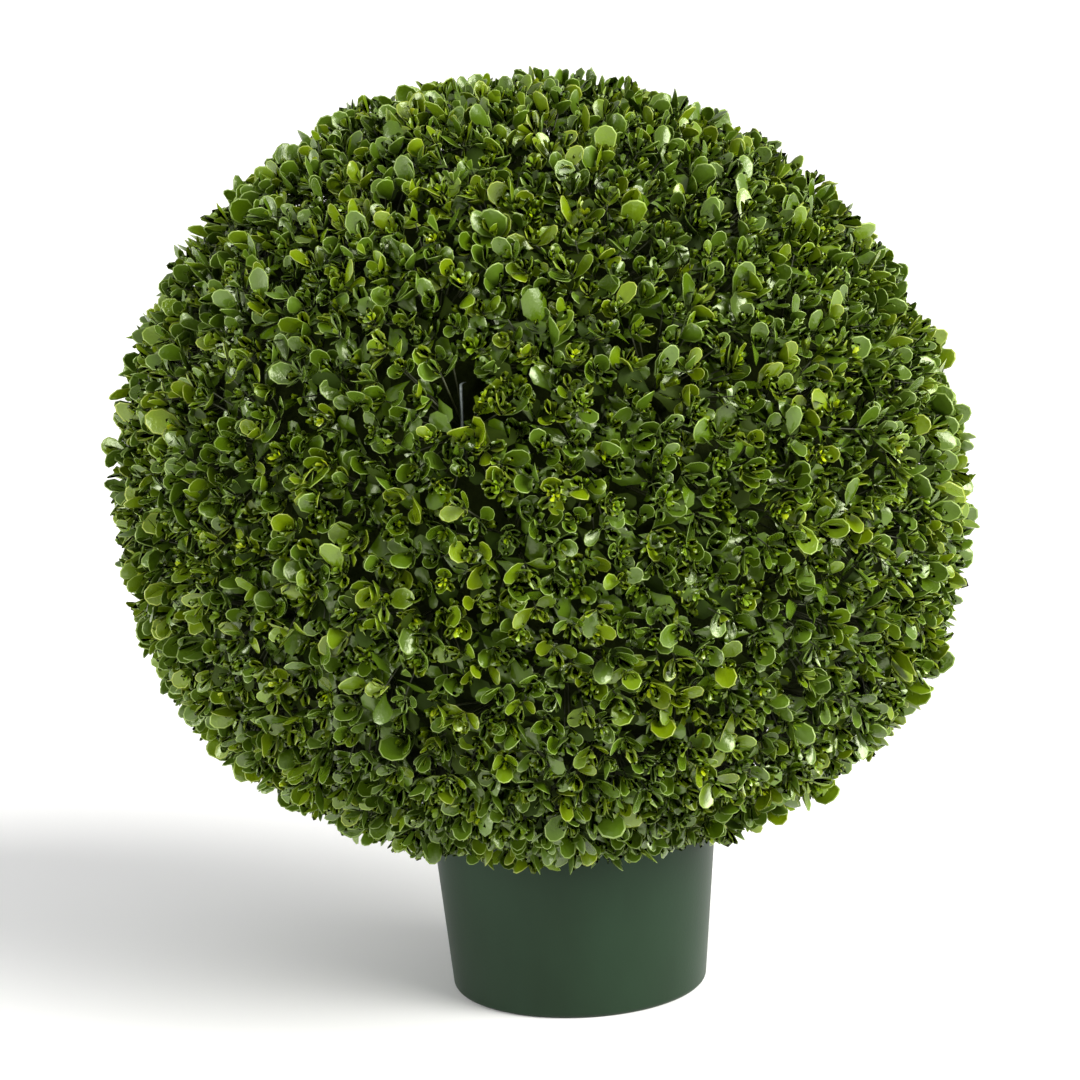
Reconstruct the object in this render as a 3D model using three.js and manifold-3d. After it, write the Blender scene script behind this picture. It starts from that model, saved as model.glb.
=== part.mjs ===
// An artificial box topiary ball: a clipped globe of box foliage on a short stem, in a round plastic pot.
// Millimetres, +Z up. The origin is the centre of the pot's flat underside, on the ground.
import * as THREE from "three";
import { mergeVertices } from "three/addons/utils/BufferGeometryUtils.js";
import Module from "manifold-3d";

const wasm = await Module();
wasm.setup();

// ---------------------------------------------------------------- driving dimensions

const CLEARANCE = 0.3; // between pieces that rest on or in each other

const POT = {
  height: 165,
  footRadius: 91.5,
  spread: 0.092, // how much the wall's radius grows for each millimetre of height
  wall: 2.4,
  floor: 4,
  footRound: 4, // radius of the rounded edge round the underside
  rimHeight: 9,
  rimProud: 2.6, // how far the rim's band stands out of the wall
  softening: 1.2, // the bevel along the rim's edges
  sides: 48,
};

const FILLING = {
  depth: 92,
  mound: 5, // how far its top rises to the middle
};

const STEM = {
  footHeight: 24, // its lower end, sunk in the filling
  top: 288,
  footRadius: 15,
  topRadius: 11,
  sides: 12,
};

const CROWN = {
  centre: new THREE.Vector3(-16, 0, 368),
  radius: 300,
  heightAbove: 287,
  depthBelow: 266,
  undersidePower: 2.2, // over 2 makes the lower half fuller and its underside flatter
  slant: 0.036, // stretches the globe along the diagonal from upper left to lower right
  stray: 11, // how far a leaf may stand out of the clipped surface
  roomForPot: 3,
};

const CORE = {
  depth: 36, // how far it lies under the clipped surface
  detail: 3,
  recessSides: 24,
};

const TWIG = {
  count: 144,
  rootRadius: 9,
  sunk: 12, // how far its root goes into the core
  tipDepth: 8, // how far its tip lies under the clipped surface
  uneven: 10, // the clipping is uneven by this much
};

// The whorls of a twig, from its foot up: each is a pair of leaves, a quarter turn from the pair below.
const WHORLS = [
  { below: 24, length: 60, width: 44, lean: 70 },
  { below: 13, length: 48, width: 36, lean: 50 },
];

const LEAF = {
  thickness: 3.4,
  shoulder: 0.56, // where it is widest, as a share of its length
  tipWidth: 0.44, // the width of its blunt tip, as a share of the full width
  sunk: 1.2, // how far its root goes past the twig's middle line
  variety: 0.26, // of size
  wander: 0.5, // of the turn round the twig, in radians
  leanVariety: 18, // of the lean, in degrees
  attempts: 24,
};

const GOLDEN_ANGLE = Math.PI * (3 - Math.sqrt(5));
const SEED = 7;

// ---------------------------------------------------------------- materials

const MATERIALS = {
  pot: new THREE.MeshStandardMaterial({ color: 0x35493a, roughness: 0.42 }),
  filling: new THREE.MeshStandardMaterial({ color: 0x8b8880, roughness: 0.9 }),
  stem: new THREE.MeshStandardMaterial({ color: 0x5b4631, roughness: 0.8 }),
  foliage: new THREE.MeshStandardMaterial({ color: 0x4f6b26, roughness: 0.5, flatShading: true }),
};

// ---------------------------------------------------------------- solids

// A closed geometry as a solid that can be cut and joined.
function solidOf(geometry) {
  const bare = new THREE.BufferGeometry().setAttribute("position", geometry.getAttribute("position"));
  if (geometry.index) bare.setIndex(geometry.index);
  const merged = mergeVertices(bare, 1e-4);
  return new wasm.Manifold(
    new wasm.Mesh({
      numProp: 3,
      vertProperties: merged.attributes.position.array,
      triVerts: new Uint32Array(merged.index.array),
    }),
  );
}

// The largest closed body of a solid as a geometry, which leaves out loose scraps and fills sealed hollows.
function geometryOf(solid) {
  const bodies = solid.decompose();
  const largest = bodies.reduce((a, b) => (b.volume() > a.volume() ? b : a));
  const { vertProperties, triVerts } = largest.getMesh();
  const geometry = new THREE.BufferGeometry()
    .setAttribute("position", new THREE.BufferAttribute(vertProperties, 3))
    .setIndex(new THREE.BufferAttribute(triVerts, 1));
  geometry.computeVertexNormals();
  return geometry;
}

// A profile of [radius, height] points turned about +Z. It starts and ends on the axis.
function turned(profile, sides) {
  const geometry = new THREE.LatheGeometry(
    profile.map(([radius, height]) => new THREE.Vector2(radius, height)),
    sides,
  );
  return geometry.rotateX(Math.PI / 2);
}

function named(name, geometry, material, position = new THREE.Vector3()) {
  const mesh = new THREE.Mesh(geometry, material);
  mesh.name = name;
  mesh.position.copy(position);
  return mesh;
}

// ---------------------------------------------------------------- pot, filling and stem

const potRadius = (height) => POT.footRadius + POT.spread * height;
const potInnerRadius = (height) => potRadius(height) - POT.wall;
const RIM_RADIUS = potRadius(POT.height) + POT.rimProud;
const toCrown = CROWN.centre.clone().negate();

// Points of a quarter circle from the underside up to the wall.
function footArc(steps) {
  return Array.from({ length: steps + 1 }, (_, i) => {
    const turn = (i / steps) * (Math.PI / 2);
    const radius = potRadius(POT.footRound) - POT.footRound * (1 - Math.sin(turn));
    return [radius, POT.footRound * (1 - Math.cos(turn))];
  });
}

function makePot() {
  const rimFoot = POT.height - POT.rimHeight;
  const profile = [
    [0, 0],
    ...footArc(3),
    [potRadius(rimFoot), rimFoot],
    [RIM_RADIUS - POT.softening, rimFoot + POT.softening],
    [RIM_RADIUS, rimFoot + 2 * POT.softening],
    [RIM_RADIUS, POT.height - POT.softening],
    [RIM_RADIUS - POT.softening, POT.height],
    [potInnerRadius(POT.height), POT.height],
    [potInnerRadius(POT.floor), POT.floor],
    [0, POT.floor],
  ];
  return named("pot", turned(profile, POT.sides), MATERIALS.pot);
}

// The stem leans from the middle of the pot towards the middle of the crown.
const stemAxisAt = (height) => CROWN.centre.x * (height / CROWN.centre.z);

// The stem, or with room the socket that it stands in.
function stemGeometry(room = 0) {
  const low = STEM.footHeight - room;
  const high = STEM.top + room;
  const geometry = new THREE.CylinderGeometry(
    STEM.topRadius + room,
    STEM.footRadius + room,
    high - low,
    STEM.sides,
  );
  geometry.rotateX(Math.PI / 2);
  const place = geometry.getAttribute("position");
  for (let i = 0; i < place.count; i += 1) {
    const height = place.getZ(i) + (low + high) / 2;
    place.setXYZ(i, place.getX(i) + stemAxisAt(height), place.getY(i), height);
  }
  return geometry;
}

function makeFilling() {
  const low = POT.floor + CLEARANCE;
  const edge = low + FILLING.depth;
  const room = CLEARANCE / Math.cos(Math.PI / POT.sides);
  const profile = [
    [0, low],
    [potInnerRadius(low) - room, low],
    [potInnerRadius(edge) - room, edge],
    [0, edge + FILLING.mound],
  ];
  const block = turned(profile, POT.sides);
  const solid = solidOf(block).subtract(solidOf(stemGeometry(CLEARANCE)));
  return named("pot_filling", geometryOf(solid), MATERIALS.filling);
}

function makeStem() {
  return named("stem", stemGeometry(), MATERIALS.stem);
}

// ---------------------------------------------------------------- crown
// Points and directions here are measured from the crown's centre.

// A repeatable number from -0.5 to 0.5 for a twig or leaf and a purpose.
function scatter(index, purpose) {
  const wave = Math.sin(index * 12.9898 + purpose * 78.233 + SEED) * 43758.5453;
  return wave - Math.floor(wave) - 0.5;
}

// How far the clipped surface lies from the centre in a direction.
function crownReach({ x, y, z }) {
  const power = z < 0 ? CROWN.undersidePower : 2;
  const across = Math.hypot(x, y) / CROWN.radius;
  const along = Math.abs(z) / (z < 0 ? CROWN.depthBelow : CROWN.heightAbove);
  return (across ** power + along ** power) ** (-1 / power) * (1 - CROWN.slant * x * z);
}

// True if a point is in the pot or too near it.
function touchesPot(point) {
  const height = point.z + CROWN.centre.z;
  const reach = Math.hypot(point.x + CROWN.centre.x, point.y + CROWN.centre.y);
  return height < POT.height + CROWN.roomForPot && reach < RIM_RADIUS + CROWN.roomForPot;
}

// True if a point stands out of the crown further than the shears leave it.
function leavesCrown(point) {
  return point.length() > crownReach(point.clone().normalize()) + CROWN.stray;
}

// Directions spread evenly over a globe, along a spiral from its top to its underside.
function spiralDirection(index, count) {
  const z = 1 - (2 * index + 1) / count;
  const level = Math.sqrt(1 - z * z);
  const turn = index * GOLDEN_ANGLE;
  return new THREE.Vector3(level * Math.cos(turn), level * Math.sin(turn), z);
}

// The dense body of the crown that the twigs stand out of. It sits on the pot's rim and hangs down round it.
function coreSolid() {
  const geometry = new THREE.IcosahedronGeometry(1, CORE.detail);
  const place = geometry.getAttribute("position");
  for (let i = 0; i < place.count; i += 1) {
    const point = new THREE.Vector3().fromBufferAttribute(place, i).normalize();
    point.multiplyScalar(crownReach(point) - CORE.depth);
    place.setXYZ(i, point.x, point.y, point.z);
  }
  const potRoom = RIM_RADIUS + CROWN.roomForPot;
  const recess = new THREE.CylinderGeometry(potRoom, potRoom, POT.height, CORE.recessSides);
  recess.rotateX(Math.PI / 2).translate(0, 0, POT.height / 2 + CLEARANCE);
  const cuts = [recess, stemGeometry(CLEARANCE)].map((cut) => solidOf(cut.translate(...toCrown)));
  return wasm.Manifold.difference([solidOf(geometry), ...cuts]);
}

// Where a twig starts, inside the core, and where its tip ends, just under the clipped surface.
function twigLine(index) {
  const direction = spiralDirection(index, TWIG.count);
  const reach = crownReach(direction) + TWIG.uneven * scatter(index, 1);
  const root = direction.clone().multiplyScalar(reach - CORE.depth - TWIG.sunk);
  const tip = direction.clone().multiplyScalar(reach - TWIG.tipDepth);
  return { root, tip, axis: direction, turn: index * GOLDEN_ANGLE };
}

// A direction square to a twig, turned round it.
function sideOf(axis, turn) {
  const side = new THREE.Vector3(0, 0, 1).cross(axis);
  return side.normalize().applyAxisAngle(axis, turn);
}

// A three-sided stalk that tapers from its root to a point.
function stalkGeometry({ root, tip, axis }) {
  const feet = [0, 1, 2].map((third) => sideOf(axis, (third * 2 * Math.PI) / 3));
  const corners = [...feet.map((foot) => foot.multiplyScalar(TWIG.rootRadius).add(root)), tip];
  return new THREE.BufferGeometry().setFromPoints(corners).setIndex([0, 1, 3, 1, 2, 3, 2, 0, 3, 0, 2, 1]);
}

// A leaf with its root at the origin, its tip along +Y and its upper face up +Z: a flat underside whose
// outline narrows to the root, under five faces that meet in one ridge point.
function leafGeometry(length, width) {
  const shoulder = LEAF.shoulder * length;
  const corners = [
    [0, 0, 0],
    [width / 2, shoulder, 0],
    [(LEAF.tipWidth * width) / 2, length, 0],
    [(-LEAF.tipWidth * width) / 2, length, 0],
    [-width / 2, shoulder, 0],
    [0, shoulder, LEAF.thickness],
  ];
  const upper = [0, 1, 5, 1, 2, 5, 2, 3, 5, 3, 4, 5, 4, 0, 5];
  const under = [0, 4, 1, 4, 3, 1, 3, 2, 1];
  const points = corners.map(([x, y, z]) => new THREE.Vector3(x, y, z));
  return new THREE.BufferGeometry().setFromPoints(points).setIndex([...upper, ...under]);
}

// One leaf of a twig: turned round the twig, and leant away from it. Each try is a little different.
function growLeaf(line, whorl, turn, leaf) {
  const size = 1 + LEAF.variety * scatter(leaf, 2);
  const side = sideOf(line.axis, line.turn + turn + LEAF.wander * scatter(leaf, 3));
  const lean = THREE.MathUtils.degToRad(whorl.lean + LEAF.leanVariety * scatter(leaf, 4));
  const along = line.axis.clone().applyAxisAngle(side, lean);
  const upper = new THREE.Vector3().crossVectors(side, along);
  const foot = line.tip.clone().addScaledVector(line.axis, -whorl.below).addScaledVector(along, -LEAF.sunk);
  const placing = new THREE.Matrix4().makeBasis(side, along, upper).setPosition(foot);
  return leafGeometry(whorl.length * size, whorl.width * size).applyMatrix4(placing);
}

// Points along the edges of a geometry's faces.
function edgePoints(geometry) {
  const place = geometry.getAttribute("position");
  const corners = Array.from({ length: place.count }, (_, i) =>
    new THREE.Vector3().fromBufferAttribute(place, i),
  );
  return corners.flatMap((corner, i) =>
    [0, 0.25, 0.5, 0.75].map((share) => corner.clone().lerp(corners[(i + 1) % corners.length], share)),
  );
}

// A solid with its box, so that its neighbours are found quickly.
function boxed(geometry) {
  geometry.computeBoundingBox();
  return { solid: solidOf(geometry), box: geometry.boundingBox };
}

const touches = (one, other) =>
  one.box.intersectsBox(other.box) && !one.solid.intersect(other.solid).isEmpty();

// The first try at a leaf that stays in the crown and clear of the pot and the others, if any does.
function fittingLeaf(line, whorl, turn, number, others) {
  for (let attempt = 0; attempt < LEAF.attempts; attempt += 1) {
    const geometry = growLeaf(line, whorl, turn, number * LEAF.attempts + attempt);
    if (edgePoints(geometry).some((point) => touchesPot(point) || leavesCrown(point))) continue;
    const leaf = boxed(geometry);
    if (!others.some((other) => touches(leaf, other))) return [leaf];
  }
  return [];
}

// The crown's twigs, each with its pairs of leaves. Twigs over the pot are left out.
function growTwigs() {
  const lines = Array.from({ length: TWIG.count }, (_, index) => twigLine(index)).filter(
    ({ root, tip }) => !touchesPot(root) && !touchesPot(tip),
  );
  const stalks = lines.map((line) => boxed(stalkGeometry(line)));
  const leaves = [];
  lines.forEach((line, index) => {
    const others = [...leaves, ...stalks.toSpliced(index, 1)];
    WHORLS.forEach((whorl, level) => {
      [0, 1].forEach((side) => {
        const number = (index * WHORLS.length + level) * 2 + side;
        leaves.push(...fittingLeaf(line, whorl, (level / 2 + side) * Math.PI, number, others));
      });
    });
  });
  return [...stalks, ...leaves].map(({ solid }) => solid);
}

function makeCrown() {
  const solid = wasm.Manifold.union([coreSolid(), ...growTwigs()]);
  return named("box_ball", geometryOf(solid), MATERIALS.foliage, CROWN.centre);
}

const tree = new THREE.Group();
tree.add(makePot(), makeFilling(), makeStem(), makeCrown());

export default tree;
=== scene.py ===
"""Dresses the artificial box topiary ball: leafy crown, wire, stem and pot, with its camera and studio.

The crown's twigs follow the same rule as the part's own source, carried on to finer shoots with leaves of
life size. Lengths are in metres. Angles are in degrees, but turns round a shoot are in radians.
"""

import logging
import math
from collections.abc import Callable
from dataclasses import dataclass, field, fields, replace
from enum import Enum, IntEnum

import bpy
import numpy as np
from mathutils import Matrix, Vector


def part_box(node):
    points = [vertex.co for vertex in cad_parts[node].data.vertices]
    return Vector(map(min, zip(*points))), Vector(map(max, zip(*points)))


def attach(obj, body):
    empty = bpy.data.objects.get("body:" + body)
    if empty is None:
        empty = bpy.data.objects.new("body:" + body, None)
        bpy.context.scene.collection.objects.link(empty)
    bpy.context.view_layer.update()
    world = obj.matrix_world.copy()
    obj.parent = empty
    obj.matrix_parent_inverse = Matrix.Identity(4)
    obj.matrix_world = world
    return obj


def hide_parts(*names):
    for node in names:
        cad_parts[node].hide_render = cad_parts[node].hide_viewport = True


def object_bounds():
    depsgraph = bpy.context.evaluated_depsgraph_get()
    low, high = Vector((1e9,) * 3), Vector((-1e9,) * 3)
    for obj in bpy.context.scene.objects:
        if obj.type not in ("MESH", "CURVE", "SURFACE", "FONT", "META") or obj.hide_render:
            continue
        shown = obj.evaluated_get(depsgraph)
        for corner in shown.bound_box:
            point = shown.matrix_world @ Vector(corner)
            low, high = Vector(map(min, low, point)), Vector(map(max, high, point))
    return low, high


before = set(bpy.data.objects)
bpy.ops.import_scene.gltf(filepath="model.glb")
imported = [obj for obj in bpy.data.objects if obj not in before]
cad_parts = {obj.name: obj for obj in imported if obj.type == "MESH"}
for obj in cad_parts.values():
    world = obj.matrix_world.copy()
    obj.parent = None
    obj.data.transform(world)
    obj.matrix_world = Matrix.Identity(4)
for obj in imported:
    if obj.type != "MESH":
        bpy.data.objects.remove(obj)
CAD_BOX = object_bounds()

log = logging.getLogger("box_ball")

BODY = "root"
GOLDEN_ANGLE = math.pi * (3 - math.sqrt(5))
UPWARD = np.array([0.0, 0.0, 1.0])
# Coordinates that differ by less than this count as the same when points are picked.
NEAR = 1e-4

Colour = tuple[float, float, float]
Place = tuple[float, float, float]
Test = Callable[[Vector], bool]


def linear(red: int, green: int, blue: int) -> Colour:
    """Turns a colour as a screen shows it, 0 to 255 a channel, into linear light.

    Args:
        red: its red.
        green: its green.
        blue: its blue.

    Returns:
        The colour.
    """

    def channel(value: int) -> float:
        """Gives one channel in linear light."""
        share = value / 255
        return share / 12.92 if share <= 0.04045 else ((share + 0.055) / 1.055) ** 2.4

    return channel(red), channel(green), channel(blue)


# ---------------- modelling tools


class Workpiece:
    """A mesh that is shaped in edit mode, by operators on what is picked by its place."""

    def __init__(self, name: str) -> None:
        """Takes the primitive that was just added, and stays in edit mode with nothing picked.

        Args:
            name: the piece's name.
        """
        self.object = bpy.context.object
        self.object.name = name
        self.object.data.name = name
        bpy.ops.object.transform_apply(location=True, rotation=True, scale=True)
        bpy.ops.object.mode_set(mode="EDIT")
        bpy.ops.mesh.select_all(action="DESELECT")

    @staticmethod
    def ready() -> None:
        """Leaves edit mode and deselects everything, so that a primitive can be added."""
        if bpy.context.object and bpy.context.object.mode != "OBJECT":
            bpy.ops.object.mode_set(mode="OBJECT")
        bpy.ops.object.select_all(action="DESELECT")

    def pick(self, test: Test, kind: str = "VERT") -> None:
        """Selects the vertices, edges or faces whose middle passes a test, and nothing else.

        Args:
            test: says for a place whether it is picked.
            kind: VERT, EDGE or FACE.
        """
        bpy.ops.mesh.select_mode(type=kind)
        bpy.ops.mesh.select_all(action="DESELECT")
        bpy.ops.object.mode_set(mode="OBJECT")
        mesh = self.object.data
        points = [vertex.co for vertex in mesh.vertices]
        if kind == "VERT":
            for vertex in mesh.vertices:
                vertex.select = test(vertex.co)
        elif kind == "EDGE":
            for edge in mesh.edges:
                edge.select = test((points[edge.vertices[0]] + points[edge.vertices[1]]) / 2)
        else:
            for face in mesh.polygons:
                face.select = test(face.center)
        bpy.ops.object.mode_set(mode="EDIT")

    def pick_all(self) -> None:
        """Selects the whole mesh."""
        bpy.ops.mesh.select_all(action="SELECT")

    def resize(self, scale: Place, centre: Place) -> None:
        """Scales what is picked about a centre."""
        bpy.ops.transform.resize(value=scale, center_override=centre)

    def move(self, x: float = 0.0, y: float = 0.0, z: float = 0.0) -> None:
        """Moves what is picked."""
        bpy.ops.transform.translate(value=(x, y, z))

    def extrude(self, x: float = 0.0, y: float = 0.0, z: float = 0.0) -> None:
        """Extrudes what is picked as a region and moves it."""
        bpy.ops.mesh.extrude_region_move(TRANSFORM_OT_translate={"value": (x, y, z)})

    def modify(self, kind: str, **settings: object) -> None:
        """Adds a modifier with its settings and applies it.

        Args:
            kind: the modifier's type.
            settings: its values, by name.
        """
        bpy.ops.object.mode_set(mode="OBJECT")
        modifier = self.object.modifiers.new(kind.lower(), kind)
        for name, value in settings.items():
            setattr(modifier, name, value)
        bpy.ops.object.modifier_apply(modifier=modifier.name)
        bpy.ops.object.mode_set(mode="EDIT")

    def done(self, smooth_angle: float | None = None) -> bpy.types.Object:
        """Turns all faces outwards, leaves edit mode and smooths the piece.

        Args:
            smooth_angle: edges sharper than this stay sharp; None leaves the faces flat.

        Returns:
            The finished object.
        """
        self.pick_all()
        bpy.ops.mesh.normals_make_consistent(inside=False)
        bpy.ops.object.mode_set(mode="OBJECT")
        if smooth_angle is not None:
            bpy.ops.object.shade_smooth_by_angle(angle=math.radians(smooth_angle))
        return self.object


def settle(piece: bpy.types.Object, slot: str, *nodes: str) -> bpy.types.Object:
    """Rides a finished piece on the part's only body and hides the CAD nodes that it replaces.

    Args:
        piece: the piece.
        slot: not used.
        nodes: the CAD nodes that it replaces.

    Returns:
        The piece.
    """
    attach(piece, BODY)
    if nodes:
        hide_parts(*nodes)
    corners, faces = len(piece.data.loops), len(piece.data.polygons)
    log.info("%s: %d faces, %d triangles", piece.name, faces, corners - 2 * faces)
    return piece


def clouds(name: str, size: float) -> bpy.types.Texture:
    """Makes a cloudy procedural texture for displacement.

    Args:
        name: its name.
        size: how large its clouds are.

    Returns:
        The texture.
    """
    texture = bpy.data.textures.new(name, "CLOUDS")
    texture.noise_scale = size
    return texture


# Where Blender keeps each array of a pattern: the kind of item, its property, how wide a row is, its type.
LAYOUT = {
    "vertices": ("vertices", "co", 3, np.float32),
    "edges": ("edges", "vertices", 2, np.int32),
    "corner_vertices": ("loops", "vertex_index", 1, np.int32),
    "corner_edges": ("loops", "edge_index", 1, np.int32),
    "face_starts": ("polygons", "loop_start", 1, np.int32),
    "face_materials": ("polygons", "material_index", 1, np.int32),
    "sharp": ("edges", "use_edge_sharp", 1, bool),
}
# The arrays that point to rows of another array.
POINTS_TO = {
    "edges": "vertices",
    "corner_vertices": "vertices",
    "corner_edges": "edges",
    "face_starts": "corner_vertices",
}


@dataclass
class Pattern:
    """A small mesh as arrays, so that many copies of it can be joined into one piece."""

    vertices: np.ndarray
    edges: np.ndarray
    corner_vertices: np.ndarray
    corner_edges: np.ndarray
    face_starts: np.ndarray
    face_materials: np.ndarray
    sharp: np.ndarray

    @classmethod
    def taken_from(cls, model: bpy.types.Object) -> "Pattern":
        """Reads a modelled object into arrays and removes it from the scene.

        Args:
            model: the object, modelled about the origin.

        Returns:
            The pattern.
        """
        arrays = {}
        for key, (items, name, width, kind) in LAYOUT.items():
            source = getattr(model.data, items)
            values = np.empty(len(source) * width, dtype=kind)
            source.foreach_get(name, values)
            arrays[key] = values.reshape(-1, width) if width > 1 else values
        bpy.data.objects.remove(model)
        return cls(**arrays)

    @property
    def triangles(self) -> int:
        """Gives how many triangles a copy costs."""
        return len(self.corner_vertices) - 2 * len(self.face_starts)


@dataclass
class Copies:
    """Where the copies of a pattern go: a 3 by 3 matrix and a place for each."""

    pattern: Pattern
    turns: np.ndarray
    places: np.ndarray
    material_offset: int = 0

    @property
    def triangles(self) -> int:
        """Gives how many triangles all the copies cost."""
        return self.pattern.triangles * len(self.places)

    def split(self, parts: int) -> list["Copies"]:
        """Deals the copies out into equal runs.

        Args:
            parts: how many runs.

        Returns:
            The runs.
        """
        runs = np.array_split(np.arange(len(self.places)), parts)
        return [replace(self, turns=self.turns[run], places=self.places[run]) for run in runs]


def joined(name: str, groups: list[Copies], materials: list[bpy.types.Material]) -> bpy.types.Object:
    """Joins copies of patterns into one mesh object.

    Args:
        name: the object's name.
        groups: the copies.
        materials: the object's materials, in the order that the patterns' faces count them.

    Returns:
        The object.
    """
    parts: dict[str, list[np.ndarray]] = {key: [] for key in LAYOUT}
    rows = dict.fromkeys(POINTS_TO.values(), 0)
    for group in groups:
        pattern, count = group.pattern, len(group.places)
        if not count:
            continue
        placed = np.einsum("mij,nj->mni", group.turns, pattern.vertices) + group.places[:, None, :]
        parts["vertices"].append(placed.reshape(-1, 3))
        for key, aim in POINTS_TO.items():
            values = getattr(pattern, key)
            shift = rows[aim] + np.arange(count) * len(getattr(pattern, aim))
            shifted = values[None] + shift.reshape(-1, *[1] * values.ndim)
            parts[key].append(shifted.reshape(-1, *values.shape[1:]))
        parts["face_materials"].append(np.tile(pattern.face_materials + group.material_offset, count))
        parts["sharp"].append(np.tile(pattern.sharp, count))
        for aim in rows:
            rows[aim] += count * len(getattr(pattern, aim))
    whole = Pattern(**{key: np.concatenate(values) for key, values in parts.items()})
    return mesh_object(name, whole, materials)


def mesh_object(name: str, whole: Pattern, materials: list[bpy.types.Material]) -> bpy.types.Object:
    """Makes a smooth mesh object from arrays.

    Args:
        name: the object's name.
        whole: its mesh.
        materials: its materials.

    Returns:
        The object.
    """
    mesh = bpy.data.meshes.new(name)
    mesh.vertices.add(len(whole.vertices))
    mesh.edges.add(len(whole.edges))
    mesh.loops.add(len(whole.corner_vertices))
    mesh.polygons.add(len(whole.face_starts))
    for key, (items, property_name, _, kind) in LAYOUT.items():
        values = getattr(whole, key).astype(kind).ravel()
        getattr(mesh, items).foreach_set(property_name, values)
    mesh.polygons.foreach_set("use_smooth", np.ones(len(whole.face_starts), dtype=bool))
    for material in materials:
        mesh.materials.append(material)
    mesh.update()
    piece = bpy.data.objects.new(name, mesh)
    bpy.context.scene.collection.objects.link(piece)
    return piece


# ---------------- finishes


@dataclass(frozen=True)
class Blotches:
    """Noise on a piece's own coordinates: blotches to a metre, finer layers, and finer along which axis."""

    per_metre: float
    detail: float = 3.0
    stretch: Place = (1.0, 1.0, 1.0)


class Shader:
    """A new material with its Principled shader, and short ways to set it and to feed it."""

    def __init__(self, name: str, colour: Colour, roughness: float) -> None:
        """Makes the material with a plain colour and roughness.

        Args:
            name: the material's name.
            colour: its colour.
            roughness: its roughness.
        """
        self.material = bpy.data.materials.new(name)
        self.material.use_nodes = True
        self.nodes = self.material.node_tree.nodes
        self.links = self.material.node_tree.links
        self.principled = self.nodes["Principled BSDF"]
        self.set("Base Color", (*colour, 1.0))
        self.set("Roughness", roughness)

    def set(self, socket: str, value: object) -> None:
        """Sets one of the shader's own sockets."""
        self.principled.inputs[socket].default_value = value

    def noise(self, blotches: Blotches) -> bpy.types.NodeSocket:
        """Adds noise on the piece's own coordinates.

        Args:
            blotches: how fine it is.

        Returns:
            The noise's output socket.
        """
        coordinates = self.nodes.new("ShaderNodeTexCoord")
        mapping = self.nodes.new("ShaderNodeMapping")
        mapping.inputs["Scale"].default_value = blotches.stretch
        texture = self.nodes.new("ShaderNodeTexNoise")
        texture.inputs["Scale"].default_value = blotches.per_metre
        texture.inputs["Detail"].default_value = blotches.detail
        self.links.new(coordinates.outputs["Object"], mapping.inputs["Vector"])
        self.links.new(mapping.outputs["Vector"], texture.inputs["Vector"])
        return texture.outputs["Fac"]

    def blend(self, blotches: Blotches, places: tuple[float, float], colours: tuple[Colour, Colour]) -> None:
        """Blotches the base colour between two colours.

        Args:
            blotches: how fine the noise is that deals them out.
            places: where in the noise each colour is reached, 0 to 1.
            colours: the colours.
        """
        ramp = self.nodes.new("ShaderNodeValToRGB")
        for stop, place, colour in zip(ramp.color_ramp.elements, places, colours):
            stop.position, stop.color = place, (*colour, 1.0)
        self.links.new(self.noise(blotches), ramp.inputs["Fac"])
        self.links.new(ramp.outputs["Color"], self.principled.inputs["Base Color"])

    def bump(self, blotches: Blotches, depth: float, strength: float) -> None:
        """Roughens the surface.

        Args:
            blotches: how fine the noise is that gives the height, 0 to 1.
            depth: the height of 1.
            strength: how much of it shows.
        """
        bump = self.nodes.new("ShaderNodeBump")
        bump.inputs["Distance"].default_value = depth
        bump.inputs["Strength"].default_value = strength
        self.links.new(self.noise(blotches), bump.inputs["Height"])
        self.links.new(bump.outputs["Normal"], self.principled.inputs["Normal"])


@dataclass(frozen=True)
class Finish:
    """A surface, plain or blotched between two colours, roughened by its grain.

    `colour` is the plain colour or the first of the two, `second` the other one, spread as `spread` says.
    """

    name: str
    colour: Colour
    roughness: float
    grain: Blotches
    grain_depth: float
    grain_strength: float = 1.0
    second: Colour | None = None
    spread: Blotches = Blotches(100.0)
    reached_at: tuple[float, float] = (0.3, 0.7)
    gloss: float = 0.5
    sheen: Colour = (1.0, 1.0, 1.0)
    metallic: float = 0.0

    def material(self) -> bpy.types.Material:
        """Makes the material.

        Returns:
            The material.
        """
        shader = Shader(self.name, self.colour, self.roughness)
        shader.set("Specular IOR Level", self.gloss)
        shader.set("Specular Tint", (*self.sheen, 1.0))
        shader.set("Metallic", self.metallic)
        if self.second:
            shader.blend(self.spread, self.reached_at, (self.colour, self.second))
        shader.bump(self.grain, self.grain_depth, self.grain_strength)
        return shader.material


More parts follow.
